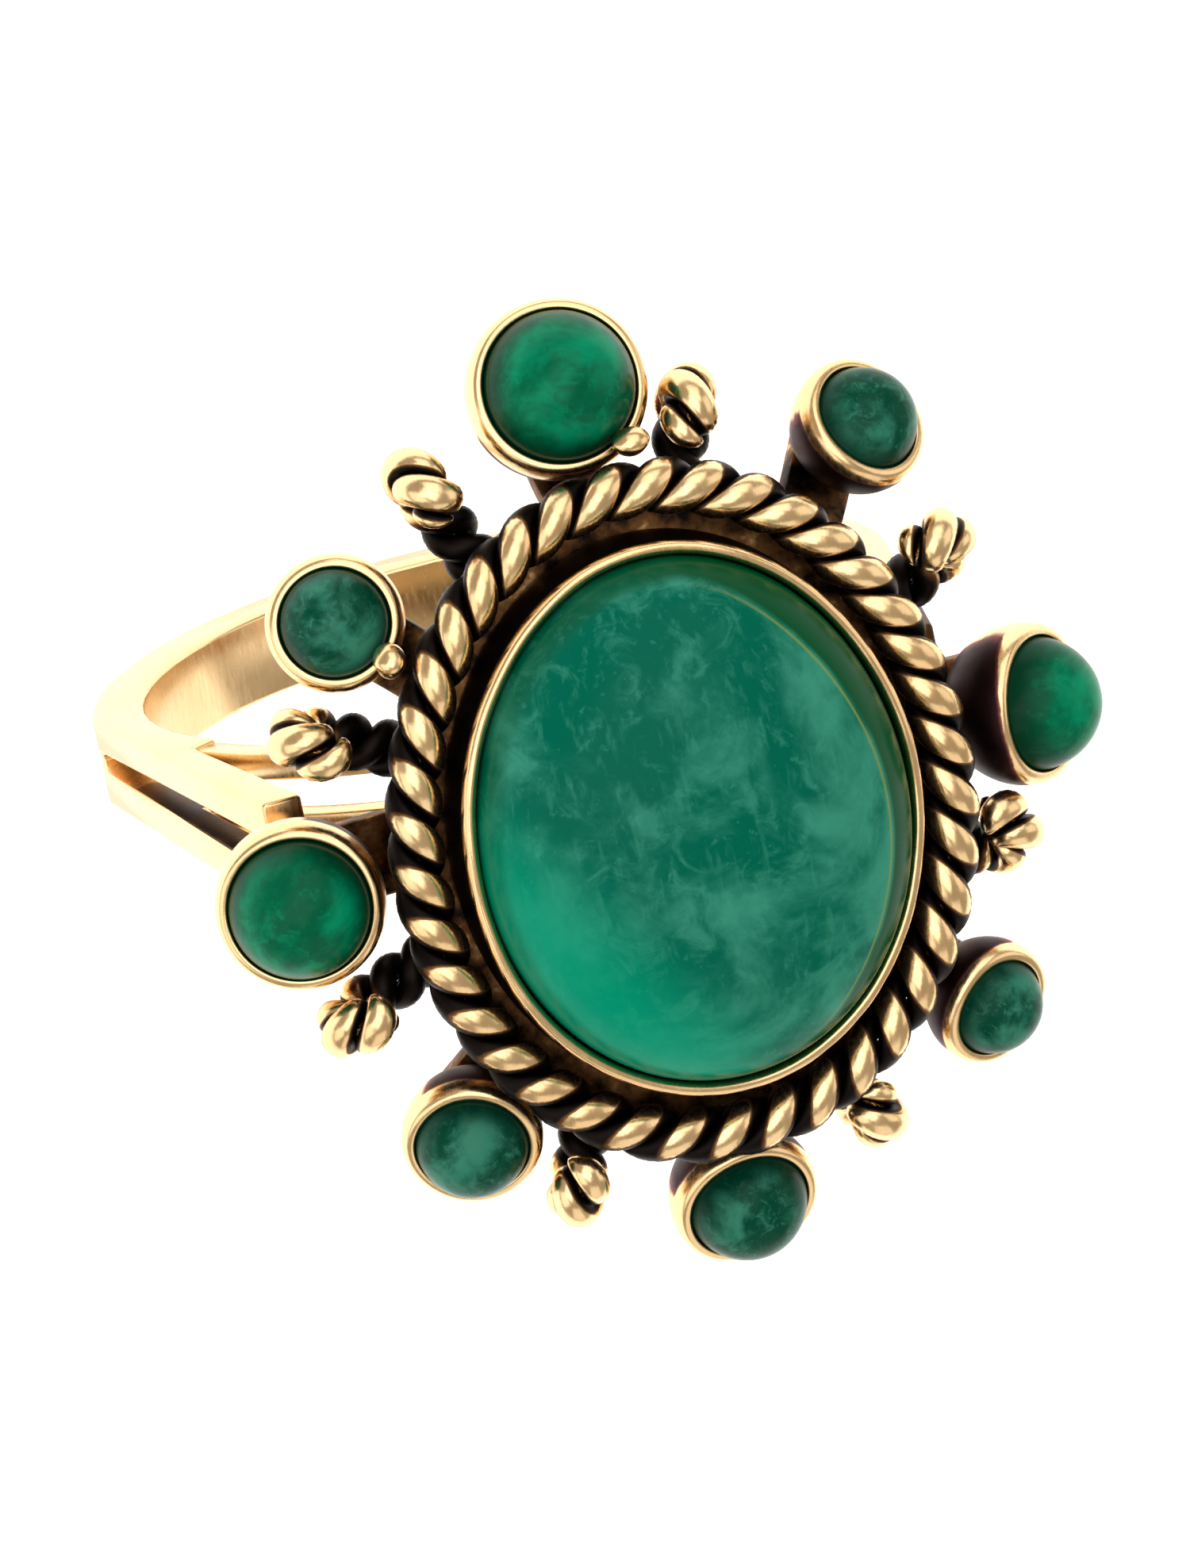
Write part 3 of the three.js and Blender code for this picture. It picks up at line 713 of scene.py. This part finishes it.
# a straight strand along X, wound round the axis, with its crown marked
def windStrand(name, s, length, turns, phase):
    clearSelection()
    offset, radius = s["offset"] * mm, s["radius"] * mm
    bpy.ops.mesh.primitive_circle_add(vertices=s["sides"], radius=1, fill_type="NOTHING",
                                      location=(0, 0, 0), rotation=(0, math.pi / 2, 0))
    strand = bpy.context.object
    strand.name = name
    bpy.ops.object.transform_apply(location=True, rotation=True, scale=True)
    # two wires pressed together: each one's section is curved round the other
    flanks = [v.co.z for v in strand.data.vertices]
    for vertex in strand.data.vertices:
        reach = offset - vertex.co.y * radius
        turn = vertex.co.z * math.radians(s["spread"]) + phase
        vertex.co = (0, -reach * math.cos(turn), reach * math.sin(turn))
    stepCount = max(8, int(turns * s["steps"]))
    applyModifier(strand, "SCREW", axis="X", angle=-2 * math.pi * turns, screw_offset=length, iterations=1,
                  steps=stepCount, render_steps=stepCount, use_normal_calculate=True)

    # 1 on a lump's top, falling to its flanks and towards the rope's underside
    layer = strand.data.attributes.new("crown", "FLOAT", "POINT")
    for i, vertex in enumerate(strand.data.vertices):
        around = 2 * math.pi * (vertex.co.x / length - s["blackestAt"])
        black = s["blackened"] * (0.5 + 0.5 * math.cos(around))
        turned = math.degrees(math.atan2(vertex.co.z, -vertex.co.y)) - s["crownAngle"]
        turned = (turned + 180) % 360 - 180
        flankDrop = s["flankDrop"] * flanks[i % len(flanks)] ** 2
        turnDrop = s["turnDrop"] * (turned / s["crownReach"]) ** 2
        layer.data[i].value = 1 - (flankDrop + turnDrop) - black
    return strand


def bendAlong(obj, path):
    applyModifier(obj, "CURVE", object=path, deform_axis="POS_X")


# joins a strand's two open ends where they meet
def closeLoop():
    bpy.ops.mesh.select_all(action="DESELECT")
    bpy.ops.mesh.select_mode(type="VERT")
    bpy.ops.mesh.select_non_manifold(extend=False, use_wire=False, use_boundary=True,
                                     use_multi_face=False, use_non_contiguous=False, use_verts=False)
    bpy.ops.mesh.remove_doubles(threshold=50 * weld)
    bpy.ops.mesh.select_all(action="SELECT")


def makeRope(s):
    clearSelection()
    bpy.ops.curve.primitive_bezier_circle_add(radius=mm, location=(0, 0, 0))
    path = bpy.context.object
    path.scale = (*s["core"], 1)
    bpy.ops.object.transform_apply(location=False, rotation=False, scale=True)
    path.data.resolution_u = 64
    path.data.twist_mode = "Z_UP"
    path.data.use_radius = False
    length = path.data.splines[0].calc_length()
    for name, node, phase in s["strands"]:
        strand = windStrand(name, s, length, s["turns"], phase)
        bendAlong(strand, path)
        editAll(strand)
        closeLoop()
        bpy.ops.mesh.normals_make_consistent(inside=False)
        bpy.ops.transform.translate(value=(0, 0, s["height"] * mm))
        bpy.ops.object.mode_set(mode="OBJECT")
        placeOnHead(strand)
        smoothAll(strand, 80)
        finishPiece(strand, ropeGold, "twisted_wire_gold", node)
    bpy.data.objects.remove(path)
    return length


ropeLength = makeRope(ropeSettings)
print("rope length in mm", round(ropeLength / mm, 2))

ropeEdge = (7.23, 8.59)  # the rope's outer outline, from which scrolls and granules stand off

scrollSettings = {
    "radius": 0.34,
    "offset": 0.355,
    "sides": 20,
    "steps": 30,
    "spread": 83,
    "crownAngle": 0,
    "crownReach": 400,
    "flankDrop": 0.75,
    "turnDrop": 0.5,
    "blackened": 0,
    "blackestAt": 0,
    "pitch": 1.8,
    "curl": 0.7,
    "sweep": 215,
    "runSteps": 4,
    "curlSteps": 12,
    "runHeight": 13.74,
    "saddle": (5.5, 6.4),
    "startGap": 0.35,
    "tipLength": 0.5,
    "tipSize": 0.35,
    "each": [
        {"place": "north_northeast", "bearing": 74.5, "outset": 0.7, "lean": 10},
        {"place": "east_northeast", "bearing": 26, "outset": 1.0, "lean": 35},
        {"place": "east_southeast", "bearing": -24.5, "outset": 0.65, "lean": 45},
        {"place": "south_southeast", "bearing": -69, "outset": 0.55, "lean": 0},
        {"place": "south_southwest", "bearing": -114.5, "outset": 0.8, "lean": -12},
        {"place": "west_southwest", "bearing": -159.5, "outset": 1.35, "lean": 0},
        {"place": "west_northwest", "bearing": 155.2, "outset": 1.25, "lean": 8},
        {"place": "north_northwest", "bearing": 115.5, "outset": 1.3, "lean": 0},
    ],
}


def ovalReach(semi, bearing):
    return 1 / math.hypot(math.cos(bearing) / semi[0], math.sin(bearing) / semi[1])


# the point at a reach and height on a bearing, and a step sideways, in metres
def atBearing(bearing, reach, height, sideways=0.0):
    c, s = math.cos(bearing), math.sin(bearing)
    return Vector((reach * c - sideways * s, headSettings["offset"] + reach * s + sideways * c, height)) * mm


# straight out under the rope, then up and back over in a curl
def scrollPath(s, scroll):
    bearing, lean = math.radians(scroll["bearing"]), math.radians(scroll["lean"])
    centre = ovalReach(ropeEdge, bearing) + scroll["outset"]
    start = ovalReach(s["saddle"], bearing) + s["startGap"]
    line = [(start + (centre - start) * i / s["runSteps"], 0.0) for i in range(s["runSteps"])]
    for i in range(s["curlSteps"] + 1):
        angle = math.radians(-90 + s["sweep"] * i / s["curlSteps"])
        line.append((centre + s["curl"] * math.cos(angle), s["curl"] * (1 + math.sin(angle))))
    return [atBearing(bearing, reach, s["runHeight"] + rise * math.cos(lean), rise * math.sin(lean))
            for reach, rise in line]


def drawPath(points):
    data = bpy.data.curves.new("scrollPath", "CURVE")
    data.dimensions = "3D"
    data.twist_mode = "MINIMUM"
    data.resolution_u = 12
    spline = data.splines.new("NURBS")
    spline.points.add(len(points) - 1)
    for knot, point in zip(spline.points, points):
        knot.co = (*point, 1)
    spline.order_u = 4
    spline.use_endpoint_u = True
    path = bpy.data.objects.new("scrollPath", data)
    bpy.context.scene.collection.objects.link(path)
    return path, spline.calc_length()


# the wire's ends are drawn out to a blunt tip
def drawOutTips(strand, s, length):
    for vertex in strand.data.vertices:
        toEnd = min(vertex.co.x, length - vertex.co.x) / (s["tipLength"] * mm)
        if toEnd < 1:
            shrink = s["tipSize"] + (1 - s["tipSize"]) * math.sqrt(max(0.0, 1 - (1 - toEnd) ** 2))
            vertex.co.y *= shrink
            vertex.co.z *= shrink


def makeScroll(s, scroll):
    path, length = drawPath(scrollPath(s, scroll))
    strands = [windStrand("strand", s, length, length / mm / s["pitch"], phase) for phase in (0.0, math.pi)]
    for strand in strands:
        addAttribute(strand, "outer", lambda co: co.x / length)
        drawOutTips(strand, s, length)
    clearSelection()
    for strand in strands:
        strand.select_set(True)
    bpy.context.view_layer.objects.active = strands[0]
    bpy.ops.object.join()
    wire = bpy.context.object
    wire.name = "scroll_" + scroll["place"] + "_wire"
    bendAlong(wire, path)
    editAll(wire)
    bpy.ops.mesh.fill_holes(sides=0)
    bpy.ops.mesh.normals_make_consistent(inside=False)
    bpy.ops.object.mode_set(mode="OBJECT")
    bpy.data.objects.remove(path)
    smoothAll(wire, 60)
    finishPiece(wire, scrollGold, "twisted_wire_gold", "scroll_" + scroll["place"])


for scroll in scrollSettings["each"]:
    makeScroll(scrollSettings, scroll)
print("scrolls are in")


cupSettings = {
    "rimHeight": 14.4,
    "wall": 0.29,
    "play": 0.02,
    "depthRatio": 1.15,
    "floorGap": 0.35,
    "sink": 0.4,
    "girdle": 0.32,
    "domeRatio": 1.08,
    "domeAngles": (76, 62, 48, 35, 22, 11, 3),
    "wave": 0.02,
    "squeeze": 0.008,
    "burning": 0.4,
    "bright": ("north", "east", "west"),
    "each": [
        {"place": "north", "bearing": 92.5, "reach": 10.44, "stone": 3.75, "tilt": 20, "burnt": 0.0},
        {"place": "northeast", "bearing": 49, "reach": 10.25, "stone": 2.7, "tilt": 40, "burnt": 0.2},
        {"place": "east", "bearing": -1, "reach": 9.52, "stone": 3.3, "tilt": 42, "burnt": 0.6},
        {"place": "southeast", "bearing": -45.8, "reach": 9.97, "stone": 2.5, "tilt": 28, "burnt": 0.35},
        {"place": "south", "bearing": -90.3, "reach": 10.22, "stone": 3.0, "tilt": 27, "burnt": 0.2},
        {"place": "southwest", "bearing": -132.5, "reach": 9.45, "stone": 2.8, "tilt": 28, "burnt": 0.1},
        {"place": "west", "bearing": 181.3, "reach": 9.25, "stone": 3.5, "tilt": 18, "burnt": 0.1},
        {"place": "northwest", "bearing": 137.9, "reach": 9.4, "stone": 2.7, "tilt": 20, "burnt": 0.0},
    ],
}


def layOnCupAxis(obj, s, cup):
    makeActive(obj)
    obj.rotation_euler = (0, math.radians(cup["tilt"]), math.radians(cup["bearing"]))
    obj.location = atBearing(math.radians(cup["bearing"]), cup["reach"], s["rimHeight"])
    bpy.ops.object.transform_apply(location=True, rotation=True, scale=True)


def makeCup(s, cup):
    radius = cup["stone"] / 2
    inner = radius + s["play"]
    outer = radius + s["wall"]
    depth = s["depthRatio"] * outer
    floor = -s["sink"] - s["floorGap"]
    lip = radius * math.sqrt(1 - (s["sink"] / (s["domeRatio"] * radius)) ** 2) + 0.012
    section = [
        (0.3 * outer, -depth), (0.58 * outer, -0.97 * depth), (0.8 * outer, -0.8 * depth),
        (0.96 * outer, -0.54 * depth), (1.02 * outer, -0.3 * depth), (outer, -0.24), (outer - 0.07, -0.08),
        (outer - 0.15, -0.01), (lip + 0.04, 0.0), (lip, -0.05), (lip + 0.01, -0.12), (inner, -0.3),
        (inner, floor + 0.1), (inner - 0.05, floor),
    ]
    body = turnRings("cup_" + cup["place"] + "_body", [(r, r, z) for r, z in section], 40, False)
    applyModifier(body, "SUBSURF", levels=2, render_levels=2)
    phase = cup["bearing"]
    for vertex in body.data.vertices:  # each rim is rubbed over by hand
        if math.hypot(vertex.co.x, vertex.co.y) < weld:
            continue  # a point on the axis has no bearing of its own
        angle = math.atan2(vertex.co.y, vertex.co.x)
        vertex.co.z += s["wave"] * math.sin(3 * angle + phase) * mm
        vertex.co.x *= 1 + s["squeeze"] * math.sin(2 * angle + phase)
    addAttribute(body, "facing", lambda co: co.x / (outer * mm))
    burnt = s["burning"] * cup["burnt"]
    addAttribute(body, "rimward", lambda co: 1 + co.z / (depth * mm) + burnt * min(0.0, co.x / (outer * mm)))
    layOnCupAxis(body, s, cup)
    smoothAll(body, 60)
    finishPiece(body, cupGold, "cup_gold", "cup_" + cup["place"])


def makeStone(s, cup):
    radius = cup["stone"] / 2
    dome = s["domeRatio"] * radius
    base = -s["sink"] - s["girdle"]
    rings = [(0.9 * radius, 0.9 * radius, base), (radius, radius, -s["sink"])]
    for degrees in s["domeAngles"]:
        turn = math.radians(degrees)
        r = radius * math.sin(turn)
        rings.append((r, r, dome * math.cos(turn) - s["sink"]))
    stone = turnRings("stone_" + cup["place"] + "_dome", rings, 40, False)
    applyModifier(stone, "SUBSURF", levels=1, render_levels=1)
    addAttribute(stone, "share", lambda co: math.hypot(co.x, co.y) / (radius * mm))
    layOnCupAxis(stone, s, cup)
    smoothAll(stone, 60)
    mat = brightEmerald if cup["place"] in s["bright"] else darkEmerald
    finishPiece(stone, mat, "clear_emerald", "stone_" + cup["place"])


for cup in cupSettings["each"]:
    makeCup(cupSettings, cup)
    makeStone(cupSettings, cup)
    arm = "arm_" + cup["place"]
    refineCopy(arm, arm + "_strap", 0.1, oxideAndShadeGold, "oxidised_gold")
print("cups, stones and arms are in")


refineCopy("shank", "shankBand", 0.12, shankGold, "polished_gold", segments=3)
refineCopy("finger_rail_north", "fingerRailNorth", 0.08, polishedGold, "polished_gold")
refineCopy("finger_rail_south", "fingerRailSouth", 0.08, polishedGold, "polished_gold")
refineCopy("gallery_saddle", "gallerySaddle", 0.08, oxideAndShadeGold, "oxidised_gold", angle=50)
refineCopy("rope_tray", "ropeTray", 0.08, oxideAndShadeGold, "oxidised_gold", angle=50)
refineCopy("bezel_seat", "bezelSeat", 0.05, oxideAndShadeGold, "oxidised_gold", angle=50)
print("shank and gallery are in")

granuleSettings = {
    "height": 15.54,
    "each": [
        {"place": "north", "bearing": 86, "radius": 0.32, "outset": 0.38, "drawn": 1.5},
        {"place": "northwest", "bearing": 139, "radius": 0.4, "outset": 0.42, "drawn": 1.0},
    ],
}


# a drop of solder, a little lumpy
def makeGranule(s, granule):
    bearing = math.radians(granule["bearing"])
    seat = atBearing(bearing, ovalReach(ropeEdge, bearing) + granule["outset"], s["height"])
    clearSelection()
    bpy.ops.mesh.primitive_ico_sphere_add(subdivisions=4, radius=granule["radius"] * mm, location=(0, 0, 0))
    ball = bpy.context.object
    ball.name = "granule_" + granule["place"]
    for vertex in ball.data.vertices:
        n = vertex.co.normalized()
        swell = 1 + 0.1 * math.sin(2.3 * n.x + 1.0) + 0.07 * math.sin(3.1 * n.y + 2.4 * n.z)
        vertex.co = vertex.co * swell
        vertex.co.x *= granule["drawn"]
        vertex.co += seat
    smoothAll(ball, 60)
    finishPiece(ball, polishedGold, "polished_gold", "solder_granule_" + granule["place"])


for granule in granuleSettings["each"]:
    makeGranule(granuleSettings, granule)
print("granules are in")
